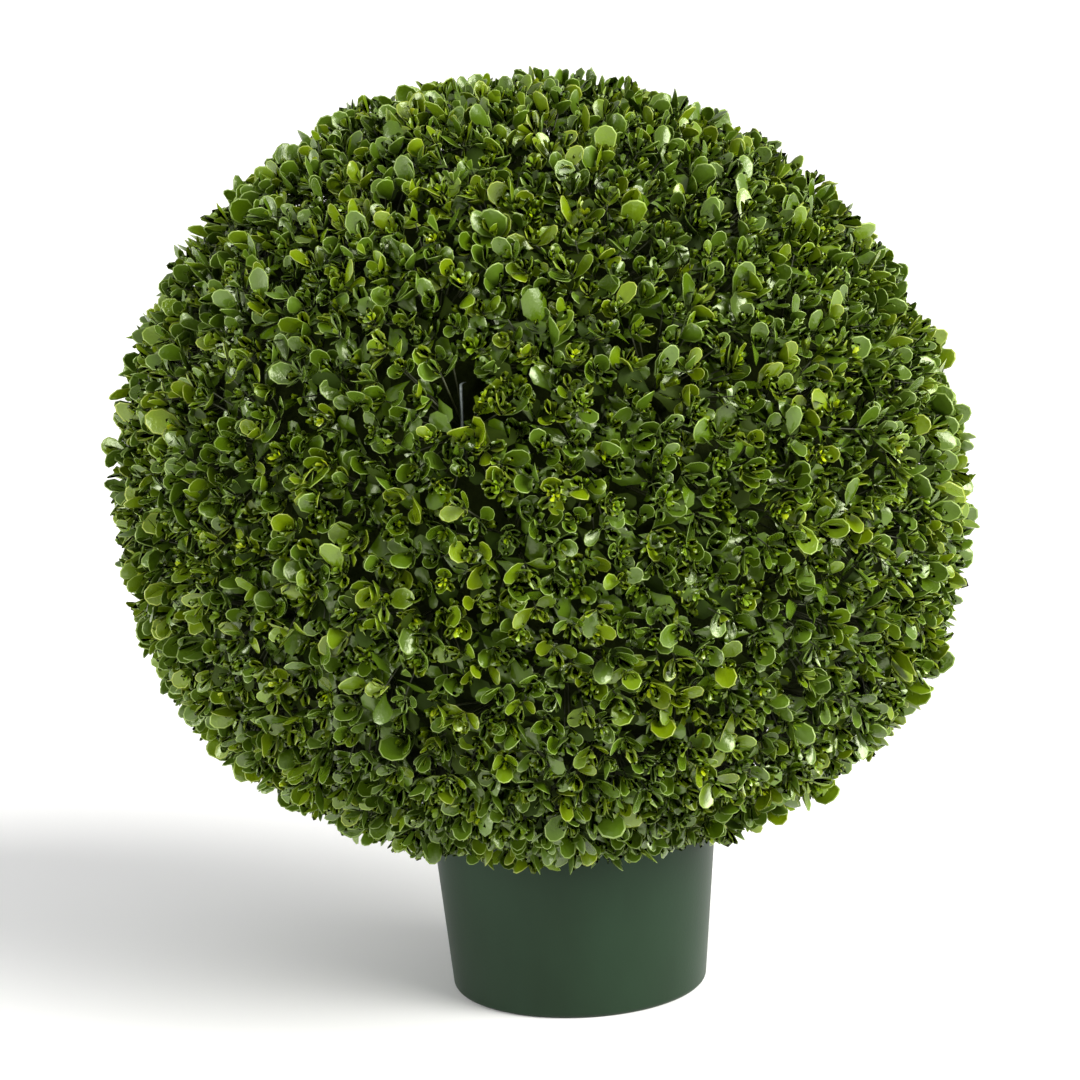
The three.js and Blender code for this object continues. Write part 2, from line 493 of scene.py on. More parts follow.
TWIG = Finish("twig_plastic", linear(44, 50, 16), 0.6, Blotches(700.0), 0.0002)
# Painted shade: the heart is a dark solid that stands for the shadowed depth inside the crown, seen through
# its gaps.
HEART_SHADE = Finish(
    "crown_shade_heart", linear(20, 27, 6), 0.9, Blotches(240.0), 0.002,
    second=linear(36, 44, 12), spread=Blotches(90.0), reached_at=(0.35, 0.7), gloss=0.05,
)
POT_PLASTIC = Finish(
    "pot_plastic", linear(25, 41, 26), 0.42, Blotches(420.0, 2.0), 0.00008, 0.6,
    second=linear(30, 49, 33), spread=Blotches(14.0, 4.0, (1.0, 1.0, 0.5)), gloss=0.14,
)
CEMENT = Finish(
    "cement", linear(108, 104, 95), 0.92, Blotches(300.0, 6.0), 0.001,
    second=linear(150, 146, 136), spread=Blotches(160.0, 6.0),
)
STREAKS = Blotches(130.0, 5.0, (1.0, 1.0, 0.15))
BARK = Finish(
    "stem_bark", linear(58, 42, 28), 0.82, STREAKS, 0.0015,
    second=linear(110, 86, 60), spread=STREAKS, reached_at=(0.35, 0.68),
)
ZINC = Finish(
    "zinc_wire", linear(96, 104, 104), 0.42, Blotches(900.0), 0.0001,
    second=linear(136, 144, 142), spread=Blotches(500.0), metallic=0.8,
)


class Part(IntEnum):
    """The parts of a leaf, in the order of their materials."""

    BLADE = 0
    RIM = 1
    UNDER = 2


@dataclass(frozen=True)
class LeafFinish:
    """Moulded leaf plastic: a glossy blade, a thin pale rim and a slightly duller underside. The rim's pale
    colour is partly the plastic's light cut edge and partly a painted highlight, the light caught along the
    edge. The underside's slightly lighter, yellower colour is partly the leaf's paler back and partly a
    painted glow of light through the leaf.
    """

    name: str
    blade: Colour
    rim: Colour
    under: Colour
    roughness: float = 0.24
    rim_duller: float = 0.08
    under_duller: float = 0.05
    gloss: float = 0.8
    sheen: Colour = (0.92, 1.0, 0.72)
    grain: Blotches = Blotches(340.0)
    grain_depth: float = 0.0007
    grain_strength: float = 0.5

    def materials(self) -> list[bpy.types.Material]:
        """Makes the materials of the leaf's parts.

        Returns:
            Those of the blade, the rim and the underside.
        """
        parts = (
            (Part.BLADE, self.blade, 0.0),
            (Part.RIM, self.rim, self.rim_duller),
            (Part.UNDER, self.under, self.under_duller),
        )
        return [
            Finish(
                name=f"leaf_{self.name}_{part.name.lower()}",
                colour=colour,
                roughness=self.roughness + duller,
                gloss=self.gloss,
                sheen=self.sheen,
                grain=self.grain,
                grain_depth=self.grain_depth,
                grain_strength=self.grain_strength,
            ).material()
            for part, colour, duller in parts
        ]


class Tone(Enum):
    """The ages of a leaf, and the deep shade, each with the finishes that its leaves are dealt."""

    OLD = (
        LeafFinish("old_deep", linear(67, 91, 5), linear(112, 136, 54), linear(67, 92, 8)),
        LeafFinish("old_cool", linear(73, 98, 18), linear(120, 142, 68), linear(73, 98, 20)),
    )
    MID = (
        LeafFinish("mid_green", linear(92, 116, 7), linear(130, 152, 60), linear(93, 117, 9)),
        LeafFinish("mid_olive", linear(99, 120, 3), linear(138, 152, 52), linear(99, 121, 4)),
    )
    FRESH = (
        LeafFinish("fresh_green", linear(105, 134, 12), linear(150, 170, 62), linear(107, 134, 14)),
        LeafFinish("fresh_pale", linear(112, 140, 30), linear(157, 177, 76), linear(114, 140, 28)),
    )
    YOUNG = (
        LeafFinish("young_lime", linear(146, 170, 10), linear(182, 198, 56), linear(152, 168, 16)),
        LeafFinish("young_yellow", linear(164, 180, 14), linear(196, 206, 64), linear(166, 178, 22)),
    )
    SHADE = (
        LeafFinish("shade_deep", linear(34, 50, 3), linear(50, 66, 12), linear(36, 52, 4), 0.6, gloss=0.15),
        LeafFinish("shade_dull", linear(40, 54, 4), linear(54, 68, 12), linear(42, 56, 5), 0.6, gloss=0.15),
    )


# ---------------- leaf shapes


@dataclass(frozen=True)
class LeafShape:
    """One leaf of unit length, from its root at the origin along +Y, with its upper face up.

    Its outline is rows of (share along the leaf, half width), between the pointed root and the tip. Without
    a rim, or with one on its upper face only, it costs less, for leaves that are small or lie deep. While
    it is shaped, its underside lies `apart` below it, so that each face can be picked by its height.
    """

    rows: tuple[tuple[float, float], ...]
    rim: float = 0.034
    rim_lift: float = -0.004
    rim_under: bool = True
    thickness: float = 0.04
    cup: float = 0.1
    tip_cup: float = 0.75
    curl: float = 0.08
    root_curl: float = 0.35
    heart: float = 0.6
    heart_search: tuple[float, float] = (0.3, 0.85)
    apart: float = 1.0
    weld: float = 0.0005

    def lift(self, along: float, aside: float) -> float:
        """Gives how high the leaf's middle layer lies: a spoon's hollow round the heart, on a long curl.

        Args:
            along: the share along the leaf.
            aside: the distance from its middle line.

        Returns:
            The height.
        """
        beyond = max(0.0, along - self.heart) / (1 - self.heart)
        hollow = (aside / self.widest) ** 2 + self.tip_cup * beyond**2
        return self.cup * hollow + self.curl * (along * along - self.root_curl * along)

    @property
    def widest(self) -> float:
        """Gives the leaf's greatest half width."""
        return max(half for _, half in self.rows)

    def model(self) -> Pattern:
        """Models the leaf from a circle: rows set, underside copied, rim inset and both faces cupped.

        Returns:
            Its pattern, whose faces count their materials as Part does.
        """
        Workpiece.ready()
        sides = 2 * (len(self.rows) + 1)
        bpy.ops.mesh.primitive_circle_add(vertices=sides, radius=0.5, fill_type="NGON", location=(0, 0.5, 0))
        leaf = Workpiece("leaf")
        self._set_outline(leaf, sides)
        leaf.pick_all()
        bpy.ops.mesh.duplicate()
        leaf.move(z=-self.apart)
        bpy.ops.mesh.flip_normals()
        if self.rim_under:
            bpy.ops.mesh.inset(thickness=self.rim, depth=0)
            leaf.move(z=-self.thickness / 3)
            bpy.ops.mesh.poke()
            self._set_heart(leaf, upper=False)
        leaf.pick(self._in_upper, "FACE")
        if self.rim:
            bpy.ops.mesh.inset(thickness=self.rim, depth=0)
            leaf.move(z=self.rim_lift)
        bpy.ops.mesh.poke()
        self._set_heart(leaf, upper=True)
        leaf.pick(lambda point: not self._in_upper(point))
        leaf.move(z=self.apart)
        leaf.pick_all()
        bpy.ops.mesh.remove_doubles(threshold=self.weld)
        model = leaf.done()
        self._deal_materials(model)
        return Pattern.taken_from(model)

    def _in_upper(self, point: Vector) -> bool:
        """Says whether a point is of the upper face, while the underside lies apart."""
        return point.z > -self.apart / 2

    def _set_outline(self, leaf: Workpiece, sides: int) -> None:
        """Moves the circle's rows of points out to the leaf's outline, and up or down.

        The rows that are done wait further along, so that none is picked twice.

        Args:
            leaf: the circle.
            sides: how many points it has.
        """
        further = 2.0
        for step, (along, half) in enumerate(reversed(self.rows), start=1):
            turn = 2 * math.pi * step / sides
            row, old_half = 0.5 + 0.5 * math.cos(turn), 0.5 * math.sin(turn)
            leaf.pick(lambda point, row=row: abs(point.y - row) < NEAR and abs(point.x) > NEAR)
            leaf.resize((half / old_half, 1, 1), (0, row, 0))
            leaf.move(y=along - row + further, z=self.lift(along, half))
        leaf.pick(lambda point: point.y > 1 + NEAR)
        leaf.move(y=-further)
        leaf.pick(lambda point: abs(point.x) < NEAR and abs(point.y - 1) < NEAR)
        leaf.move(z=self.lift(1.0, 0.0))

    def _set_heart(self, leaf: Workpiece, upper: bool) -> None:
        """Moves the point where one face's wedges meet to its place on the middle line.

        Args:
            leaf: the leaf, with its underside still apart.
            upper: whether it is the upper face's point.
        """
        level, half = (0.0, self.thickness / 2) if upper else (-self.apart, -self.thickness / 2)
        height = level + (self.lift(self.heart, 0.0) + half)
        leaf.pick(lambda point: self._in_upper(point) == upper and self._may_be_heart(point))
        leaf.resize((1, 0, 0), (0, self.heart, height))

    def _may_be_heart(self, point: Vector) -> bool:
        """Says whether a point is on the middle line, well away from the root and the tip."""
        return abs(point.x) < NEAR and self.heart_search[0] < point.y < self.heart_search[1]

    @staticmethod
    def _deal_materials(model: bpy.types.Object) -> None:
        """Gives each face the material of its part, and makes the edge of the underside sharp.

        The rim is of quads, and the blade and the underside of wedges.

        Args:
            model: the leaf.
        """
        mesh = model.data
        beside: dict[tuple[int, int], set[bool]] = {}
        for face in mesh.polygons:
            wedge = Part.BLADE if face.normal.z > 0 else Part.UNDER
            face.material_index = Part.RIM if len(face.vertices) == 4 else wedge
            for key in face.edge_keys:
                beside.setdefault(key, set()).add(face.material_index == Part.UNDER)
        for edge in mesh.edges:
            edge.use_edge_sharp = len(beside[edge.key]) == 2


class Cut(Enum):
    """How finely a leaf is cut, each with its shapes, hollow or domed."""

    BROAD = (
        LeafShape(((0.14, 0.08), (0.40, 0.27), (0.71, 0.31), (0.93, 0.18)), cup=0.14, curl=0.06),
        LeafShape(((0.14, 0.07), (0.38, 0.26), (0.69, 0.30), (0.92, 0.17)), cup=0.17, curl=0.1),
        LeafShape(((0.15, 0.07), (0.43, 0.26), (0.74, 0.30), (0.94, 0.17)), cup=0.12, curl=0.14),
        LeafShape(
            ((0.14, 0.06), (0.40, 0.23), (0.71, 0.27), (0.93, 0.15)), cup=-0.1, curl=-0.08, rim_lift=0.01
        ),
    )
    SMALL = (
        LeafShape(((0.30, 0.11), (0.64, 0.25), (0.90, 0.18)), 0.044, rim_under=False, cup=0.12, curl=0.1),
        LeafShape(((0.28, 0.10), (0.60, 0.23), (0.88, 0.16)), 0.044, rim_under=False, cup=0.14, curl=0.04),
    )
    BUD = (
        LeafShape(((0.44, 0.14), (0.82, 0.23)), 0.05, rim_under=False, cup=0.08, curl=0.1, thickness=0.06),
        LeafShape(((0.42, 0.12), (0.80, 0.20)), 0.05, rim_under=False, cup=0.06, curl=0.04, thickness=0.06),
    )
    TINY = (
        LeafShape(((0.44, 0.15), (0.82, 0.21)), 0.0, rim_under=False, cup=-0.08, curl=-0.03, thickness=0.06),
        LeafShape(((0.40, 0.15), (0.78, 0.23)), 0.0, rim_under=False, cup=-0.07, curl=0.0, thickness=0.06),
    )
    DEEP = (
        LeafShape(((0.24, 0.10), (0.58, 0.28), (0.89, 0.21)), 0.0, rim_under=False, cup=-0.13, curl=-0.05),
        LeafShape(((0.28, 0.10), (0.62, 0.30), (0.90, 0.21)), 0.0, rim_under=False, cup=-0.1, curl=-0.12),
    )


# ---------------- crown


@dataclass(frozen=True)
class Pair:
    """A pair of leaves on a shoot: how far below its tip, how long, how far it leans out, and its looks.

    `tones` gives the share of such leaves that each Tone takes, in order.
    """

    below: float
    length: float
    lean: float
    cut: Cut
    tones: tuple[float, ...]


@dataclass(frozen=True)
class Habit:
    """A kind of shoot: which places it takes on a spiral, how deep its tips lie, and the pairs it bears.

    The spiral has `per_twig` places for each main twig. Of every three that follow on each other, the
    shoots take those named in `of_three`. They stray from their places, in depth they are uneven, and they
    tilt, all by a standard deviation. `lone_share` is the mean share of them that bears each lone leaf.
    """

    name: str
    per_twig: int
    of_three: tuple[int, ...]
    tip_depth: float
    stray: float
    uneven: float
    tilt: float
    pairs: tuple[Pair, ...]
    lone_share: float = 0.0


@dataclass(frozen=True)
class Gap:
    """A place where the sprays part: its direction from the crown's centre, and its size."""

    azimuth: float
    elevation: float
    half_width: float
    half_height: float


LEADING = Habit(
    name="leading",
    per_twig=19,
    of_three=(0,),
    tip_depth=0.0060,
    stray=0.010,
    uneven=0.0035,
    tilt=0.18,
    pairs=(
        Pair(0.0000, 0.0056, 16, Cut.TINY, (0.00, 0.28, 0.38, 0.34)),
        Pair(0.0007, 0.0066, 31, Cut.TINY, (0.04, 0.30, 0.38, 0.28)),
        Pair(0.0017, 0.0078, 41, Cut.BUD, (0.12, 0.38, 0.32, 0.18)),
        Pair(0.0030, 0.0092, 47, Cut.BUD, (0.20, 0.42, 0.28, 0.10)),
        Pair(0.0045, 0.0108, 51, Cut.BUD, (0.32, 0.44, 0.21, 0.03)),
        Pair(0.0062, 0.0130, 51, Cut.SMALL, (0.42, 0.42, 0.16, 0.00)),
        Pair(0.0084, 0.0152, 48, Cut.SMALL, (0.54, 0.40, 0.06, 0.00)),
        Pair(0.0112, 0.0178, 46, Cut.BROAD, (0.64, 0.36, 0.00, 0.00)),
    ),
    lone_share=0.56,
)
FILLING = Habit(
    name="filling",
    per_twig=19,
    of_three=(1, 2),
    tip_depth=0.0070,
    stray=0.010,
    uneven=0.0040,
    tilt=0.22,
    pairs=(
        Pair(0.0000, 0.0078, 20, Cut.BUD, (0.24, 0.46, 0.27, 0.03)),
        Pair(0.0014, 0.0108, 36, Cut.BUD, (0.32, 0.46, 0.22, 0.00)),
        Pair(0.0034, 0.0148, 42, Cut.SMALL, (0.48, 0.45, 0.07, 0.00)),
        Pair(0.0064, 0.0182, 50, Cut.BROAD, (0.60, 0.39, 0.01, 0.00)),
    ),
    lone_share=0.36,
)
LINING = Habit(
    name="lining",
    per_twig=13,
    of_three=(0, 1, 2),
    tip_depth=0.0105,
    stray=0.012,
    uneven=0.0030,
    tilt=0.3,
    pairs=(
        Pair(0.0000, 0.0130, 40, Cut.BUD, (0.62, 0.36, 0.02, 0.00, 0.00)),
        Pair(0.0034, 0.0160, 56, Cut.BUD, (0.72, 0.24, 0.00, 0.00, 0.04)),
        Pair(0.0078, 0.0215, 72, Cut.DEEP, (0.62, 0.00, 0.00, 0.00, 0.38)),
    ),
)
LONE = (
    Pair(0.0020, 0.0196, 36, Cut.BROAD, (0.56, 0.42, 0.02, 0.00)),
    Pair(0.0045, 0.0212, 25, Cut.BROAD, (0.60, 0.40, 0.00, 0.00)),
    Pair(0.0070, 0.0226, 14, Cut.BROAD, (0.60, 0.40, 0.00, 0.00)),
)


@dataclass
class Crown:
    """The clipped globe of box: its outline, its pot below and its gaps.

    The first three sizes place the clipped surface in the box of the CAD solid, whose leaf tips pass it.
    Shoots are turned round unevenly by up to `turn_wander`, in radians.
    """

    overhang: float = 0.013
    rise: float = 0.0138
    set_aside: float = 0.0025
    height_above: float = 0.2815
    depth_below: float = 0.252
    underside_power: float = 2.4
    slant: float = 0.036
    heart_depth: float = 0.038
    fork_depth: float = 0.062
    main_twigs: int = 144
    tips_past: float = 0.014
    lump_height: float = 0.0022
    lump_waves: tuple[tuple[float], ...] = ((9.0,), (-13.0,), (11.0,))
    lump_phase: float = 1.0
    comb: float = 0.16
    comb_waves: tuple[Place, ...] = ((5.0, -4.0, 3.0), (4.0, 6.0, -5.0), (-6.0, 3.0, 4.0))
    upward: float = 0.06
    turn_wander: float = 0.4
    size_spread: float = 0.13
    size_limits: tuple[float, float] = (0.74, 1.32)
    pot_room: float = 0.0015
    rim_room: float = 0.004
    pot_clearance: float = 0.0005
    seed: int = 7
    gaps: tuple[Gap, ...] = (
        Gap(-10.9, 21.2, 0.0115, 0.0215),
        Gap(-29.4, -10.8, 0.008, 0.011),
    )
    random: np.random.Generator = field(init=False)
    centre: np.ndarray = field(init=False)
    radius: float = field(init=False)
    pot_radius: float = field(init=False)
    pot_top: float = field(init=False)

    def __post_init__(self) -> None:
        """Places the crown in its CAD solid's box."""
        low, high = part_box("box_ball")
        self.random = np.random.default_rng(self.seed)
        self.radius = (high[0] - low[0]) / 2 - self.overhang
        middle = (low[0] + high[0]) / 2 + self.set_aside
        self.centre = np.array([middle, 0.0, high[2] - self.rise - self.height_above])
        pot_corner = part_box("pot")[1]
        self.pot_radius, self.pot_top = float(pot_corner[0]), float(pot_corner[2])

    def reach(self, directions: np.ndarray) -> np.ndarray:
        """Gives how far the clipped surface lies from the centre.

        Args:
            directions: unit vectors, one a row.

        Returns:
            The distances.
        """
        x, y, z = directions.T
        power = np.where(z < 0, self.underside_power, 2.0)
        across = np.hypot(x, y) / self.radius
        along = np.abs(z) / np.where(z < 0, self.depth_below, self.height_above)
        return (across**power + along**power) ** (-1 / power) * (1 - self.slant * x * z)

    def lumps(self, directions: np.ndarray) -> np.ndarray:
        """Gives how far low lumps lift the shoots in each direction."""
        return self.lump_height * np.sin(directions @ np.array(self.lump_waves) + self.lump_phase)[:, 0]

    def combing(self, directions: np.ndarray) -> np.ndarray:
        """Gives which way the shoots in each direction are combed, all alike in one neighbourhood."""
        return self.comb * np.sin(directions @ np.array(self.comb_waves))

    @staticmethod
    def spiral(count: int) -> np.ndarray:
        """Gives directions spread evenly over a globe, along a spiral from its top to its underside.

        Args:
            count: how many.

        Returns:
            Unit vectors, one a row.
        """
        index = np.arange(count)
        z = np.clip(1 - (2 * index + 1) / count, -1, 1)
        level = np.sqrt(1 - z * z)
        turn = index * GOLDEN_ANGLE
        return np.column_stack([level * np.cos(turn), level * np.sin(turn), z])

    def touches_pot(self, points: np.ndarray) -> np.ndarray:
        """Says which points are in the pot or too near it.

        Args:
            points: places in the part's frame, in the last axis.

        Returns:
            True for each that is.
        """
        over = np.hypot(points[..., 0], points[..., 1]) < self.pot_radius + self.pot_room
        return over & (points[..., 2] < self.pot_top + self.pot_room)

    @staticmethod
    def compass(azimuth: float, elevation: float) -> tuple[np.ndarray, np.ndarray, np.ndarray]:
        """Gives a direction from the crown's centre, with the directions to its side and upwards.

        Args:
            azimuth: how far it is turned from the front to the right.
            elevation: how far it is above the horizon.

        Returns:
            The three unit vectors.
        """
        turn, rise = math.radians(azimuth), math.radians(elevation)
        level = np.array([math.sin(turn), -math.cos(turn), 0.0])
        middle = level * math.cos(rise) + UPWARD * math.sin(rise)
        aside = np.array([math.cos(turn), math.sin(turn), 0.0])
        return middle, aside, np.cross(aside, middle)

    def in_gap(self, directions: np.ndarray, share: float) -> np.ndarray:
        """Says which directions lie in one of the gaps.

        Args:
            directions: unit vectors, one a row.
            share: how much of the gaps' size counts.

        Returns:
            True for each that does.
        """
        inside = np.zeros(len(directions), dtype=bool)
        for gap in self.gaps:
            middle, aside, upward = self.compass(gap.azimuth, gap.elevation)
            wide = directions @ aside * self.radius / gap.half_width
            high = directions @ upward * self.radius / gap.half_height
            inside |= (wide**2 + high**2 < share**2) & (directions @ middle > 0)
        return inside


def unit(vectors: np.ndarray) -> np.ndarray:
    """Scales vectors, one a row, to unit length, and leaves those of no length as they are."""
    tiny = 1e-9
    return vectors / (np.linalg.norm(vectors, axis=1, keepdims=True) + tiny)


@dataclass
class Shoots:
    """Shoots of one habit: where each ends, which way it points, and how it turns, grows and ages."""

    habit: Habit
    tips: np.ndarray
    axes: np.ndarray
    turns: np.ndarray
    sizes: np.ndarray
    ages: np.ndarray
    forks: np.ndarray

    @classmethod
    def of(cls, crown: Crown, habit: Habit) -> "Shoots":
        """Grows the shoots of a crown along its spiral, a little unevenly, combed and turned upwards.

        Args:
            crown: the crown.
            habit: what kind of shoots.

        Returns:
            The shoots, without those over the pot and in the gaps.
        """
        draw = crown.random
        count = crown.main_twigs * habit.per_twig
        directions = unit(crown.spiral(count) + draw.normal(0, habit.stray, (count, 3)))
        uneven = draw.normal(0, habit.uneven, count)
        reach = crown.reach(directions) - habit.tip_depth + uneven + crown.lumps(directions)
        tips = crown.centre + directions * reach[:, None]
        tilt = draw.normal(0, habit.tilt, (count, 3))
        axes = unit(directions + crown.combing(directions) + tilt + UPWARD * crown.upward)
        twigs = crown.spiral(crown.main_twigs)
        forks = crown.centre + twigs * (crown.reach(twigs) - crown.fork_depth)[:, None]
        nearest = np.argmin(np.linalg.norm(tips[:, None, :] - forks[None], axis=2), axis=1)
        over_pot = np.hypot(tips[:, 0], tips[:, 1]) < crown.pot_radius + crown.rim_room
        over_pot &= directions[:, 2] < 0
        kept = ~crown.touches_pot(tips) & ~crown.in_gap(directions, 1.0) & ~over_pot
        kept &= np.isin(np.arange(count) % 3, habit.of_three)
        wander = draw.uniform(-crown.turn_wander, crown.turn_wander, count)
        return cls(
            habit=habit,
            tips=tips[kept],
            axes=axes[kept],
            turns=(np.arange(count) * GOLDEN_ANGLE + wander)[kept],
            sizes=np.clip(draw.normal(1.0, crown.size_spread, count), *crown.size_limits)[kept],
            ages=draw.uniform(0, 1, count)[kept],
            forks=forks[nearest[kept]],
        )

    def across(self, turns: np.ndarray) -> tuple[np.ndarray, np.ndarray]:
        """Gives two directions square to each shoot and to each other, turned round it.

        Args:
            turns: how far to turn, in radians.

        Returns:
            Both directions.
        """
        side = unit(np.cross(UPWARD, self.axes))
        other = np.cross(self.axes, side)
        cosine, sine = np.cos(turns)[:, None], np.sin(turns)[:, None]
        return side * cosine + other * sine, other * cosine - side * sine


@dataclass
class Leaves:
    """Leaves by the thousand, a row of each array for a leaf: its place and turn, its tone and its cut."""

    place: np.ndarray
    turn: np.ndarray
    tone: np.ndarray
    cut: np.ndarray

    @classmethod
    def together(cls, parts: list["Leaves"]) -> "Leaves":
        """Puts lots of leaves together."""
        return cls(*(np.concatenate([getattr(part, row.name) for part in parts]) for row in fields(cls)))

    def only(self, chosen: np.ndarray) -> "Leaves":
        """Gives the chosen leaves."""
        return Leaves(*(getattr(self, row.name)[chosen] for row in fields(self)))


@dataclass
class Foliage:
    """The crown's leaves, stems and heart as pieces.

    Each pair of leaves is turned on from the one above it by `pair_turn`, and each lone leaf by `lone_turn`.
    From there a leaf wanders by standard deviations, in degrees. `kinship` is how far a shoot's age decides
    the tones of its leaves. `marks` are points of a leaf of unit size that have to stay clear, and number
    `tip_mark` of them is its tip.
    """

    crown: Crown
    habits: tuple[Habit, ...] = (LEADING, FILLING, LINING)
    pair_turn: float = 1.2
    wander_turn: float = 12.0
    wander_lean: float = 11.0
    wander_roll: float = 15.0
    length_spread: float = 0.12
    length_limits: tuple[float, float] = (0.7, 1.35)
    width_limits: tuple[float, float] = (0.92, 1.12)
    kinship: float = 0.72
    lone_pairs: tuple[Pair, ...] = LONE
    lone_flank: Place = (-0.25, 0.5, -0.1)
    lone_first_turn: float = 0.6
    lone_turn: float = 2.1
    marks: tuple[Place, ...] = ((0, 0.2, 0), (0, 0.6, 0), (0, 1, 0), (0.3, 0.7, 0.1), (-0.3, 0.7, 0.1))
    tip_mark: int = 2
    leaf_gap_share: float = 0.95
    twig_gap_share: float = 1.2
    finishes_a_tone: int = 2
    shapes_dealt: int = 12
    stem_radius: float = 0.0009
    twig_radius: float = 0.0024
    stem_taper: float = 0.6
    stem_bend: tuple[float, float] = (0.9, 0.7)
    heart_cuts: int = 5
    heart_gap_share: float = 1.6
    gap_sink: float = 0.89
    lump_size: float = 0.03
    lump_height: float = 0.008
    smooth_angle: float = 60.0
    piece_limit: int = 190_000

    def build(self) -> list[bpy.types.Object]:
        """Makes all the pieces of the crown, which stand for its CAD node.

        Returns:
            The pieces.
        """
        groves = [Shoots.of(self.crown, habit) for habit in self.habits]
        for shoots in groves:
            log.info("%s: %d shoots", shoots.habit.name, len(shoots.tips))
        pieces = self._leaves(groves)
        pieces.append(self._stems(groves))
        pieces.append(self._heart())
        for piece in pieces:
            settle(piece, "foliage", "box_ball")
        return pieces

    def _grow(self, shoots: Shoots) -> Leaves:
        """Grows the leaves of some shoots, pair by pair.

        Args:
            shoots: the shoots.

        Returns:
            The leaves.
        """
        sides = []
        for level, pair in enumerate(shoots.habit.pairs):
            for side in (0, 1):
                sides.append(self._one_side(shoots, pair, level * self.pair_turn + side * math.pi))
        return Leaves.together(sides)

    def _one_side(self, shoots: Shoots, pair: Pair, turn_on: float) -> Leaves:
        """Grows one leaf of a pair on every shoot.

        Args:
            shoots: the shoots.
            pair: the pair.
            turn_on: how far round the shoot it grows, in radians.

        Returns:
            The leaves.
        """
        draw, count = self.crown.random, len(shoots.tips)
        wander = np.radians(draw.normal(0, self.wander_turn, count))
        across, square = shoots.across(shoots.turns + turn_on + wander)
        lean = np.radians(pair.lean + draw.normal(0, self.wander_lean, count))[:, None]
        along = shoots.axes * np.cos(lean) + square * np.sin(lean)
        upper = np.cross(across, along)
        roll = np.radians(draw.normal(0, self.wander_roll, count))[:, None]
        aside = across * np.cos(roll) + upper * np.sin(roll)
        upper = upper * np.cos(roll) - across * np.sin(roll)
        uneven = np.clip(draw.normal(1.0, self.length_spread, count), *self.length_limits)
        length = (pair.length * shoots.sizes * uneven)[:, None]
        width = length * draw.uniform(*self.width_limits, (count, 1))
        chance = draw.uniform(0, 1, count) * (1 - self.kinship) + shoots.ages * self.kinship
        return Leaves(
            place=shoots.tips - shoots.axes * (pair.below * shoots.sizes)[:, None],
            turn=np.stack([aside * width, along * length, upper * length], axis=2),
            tone=np.searchsorted(np.cumsum(pair.tones)[:-1], chance, side="right"),
            cut=np.full(count, list(Cut).index(pair.cut)),
        )

    def _lone(self, shoots: Shoots) -> Leaves:
        """Grows large lone leaves that lie over their neighbours, on a share of the shoots.

        Args:
            shoots: the shoots.

        Returns:
            The leaves.
        """
        lots = []
        for number, pair in enumerate(self.lone_pairs):
            leaves = self._one_side(shoots, pair, self.lone_first_turn + self.lone_turn * number)
            directions = unit(leaves.place - self.crown.centre)
            share = shoots.habit.lone_share * (1 + directions @ np.array(self.lone_flank))
            lots.append(leaves.only(self.crown.random.uniform(0, 1, len(leaves.place)) < share))
        return Leaves.together(lots)

    def _allowed(self, leaves: Leaves) -> np.ndarray:
        """Says which leaves stay clear of the pot and the gaps and within the crown.

        Args:
            leaves: the leaves.

        Returns:
            True for each that does.
        """
        crown = self.crown
        points = leaves.place[:, None, :] + np.einsum("mij,nj->mni", leaves.turn, np.array(self.marks))
        clear = ~crown.touches_pot(points).any(axis=1)
        out_to_tip = points[:, self.tip_mark] - crown.centre
        directions = unit(out_to_tip)
        within = np.linalg.norm(out_to_tip, axis=1) < crown.reach(directions) + crown.tips_past
        return clear & within & ~crown.in_gap(directions, self.leaf_gap_share)

    def _leaves(self, groves: list[Shoots]) -> list[bpy.types.Object]:
        """Joins the leaves, each tone apart, into pieces that stay under the limit.

        Args:
            groves: the shoots, by their habit.

        Returns:
            The pieces.
        """
        draw = self.crown.random
        lots = [self._grow(shoots) for shoots in groves]
        leaves = Leaves.together(lots + [self._lone(shoots) for shoots in groves])
        leaves = leaves.only(self._allowed(leaves))
        total = len(leaves.place)
        log.info("%d leaves", total)
        finish_of = draw.integers(0, self.finishes_a_tone, total)
        shape_of = draw.integers(0, self.shapes_dealt, total)
        patterns = [[shape.model() for shape in cut.value] for cut in Cut]
        pieces = []
        for age, tone in enumerate(Tone):
            materials = [material for finish in tone.value for material in finish.materials()]
            groups = []
            for cut, shapes in enumerate(patterns):
                for shape, pattern in enumerate(shapes):
                    for which in range(self.finishes_a_tone):
                        chosen = (leaves.tone == age) & (leaves.cut == cut) & (finish_of == which)
                        chosen &= shape_of % len(shapes) == shape
                        turns, places = leaves.turn[chosen], leaves.place[chosen]
                        groups.append(Copies(pattern, turns, places, len(Part) * which))
            count = max(1, math.ceil(sum(group.triangles for group in groups) / self.piece_limit))
            runs = [group.split(count) for group in groups]
            for number in range(count):
                name = f"leaves_{tone.name.lower()}" + (f"_{number + 1}" if count > 1 else "")
                pieces.append(joined(name, [run[number] for run in runs], materials))
        return pieces

    def _stems(self, groves: list[Shoots]) -> bpy.types.Object:
        """Joins the shoots' stems and the main twigs that they fork from.

        Args:
            groves: the shoots, by their habit.

        Returns:
            The piece.
        """
        crown = self.crown
        pattern = self._stem_pattern()
        stems = [self._stretched(pattern, shoots.forks, shoots.tips, self.stem_radius) for shoots in groves]
        directions = crown.spiral(crown.main_twigs)
        reach = crown.reach(directions)[:, None]
        roots = crown.centre + directions * (reach - crown.fork_depth)
        forks = crown.centre + directions * (reach - crown.heart_depth / 2)
        clear = ~crown.touches_pot(roots) & ~crown.touches_pot(forks)
        clear &= ~crown.in_gap(directions, self.twig_gap_share)
        stems.append(self._stretched(pattern, roots[clear], forks[clear], self.twig_radius))
        return joined("twigs", stems, [TWIG.material()])

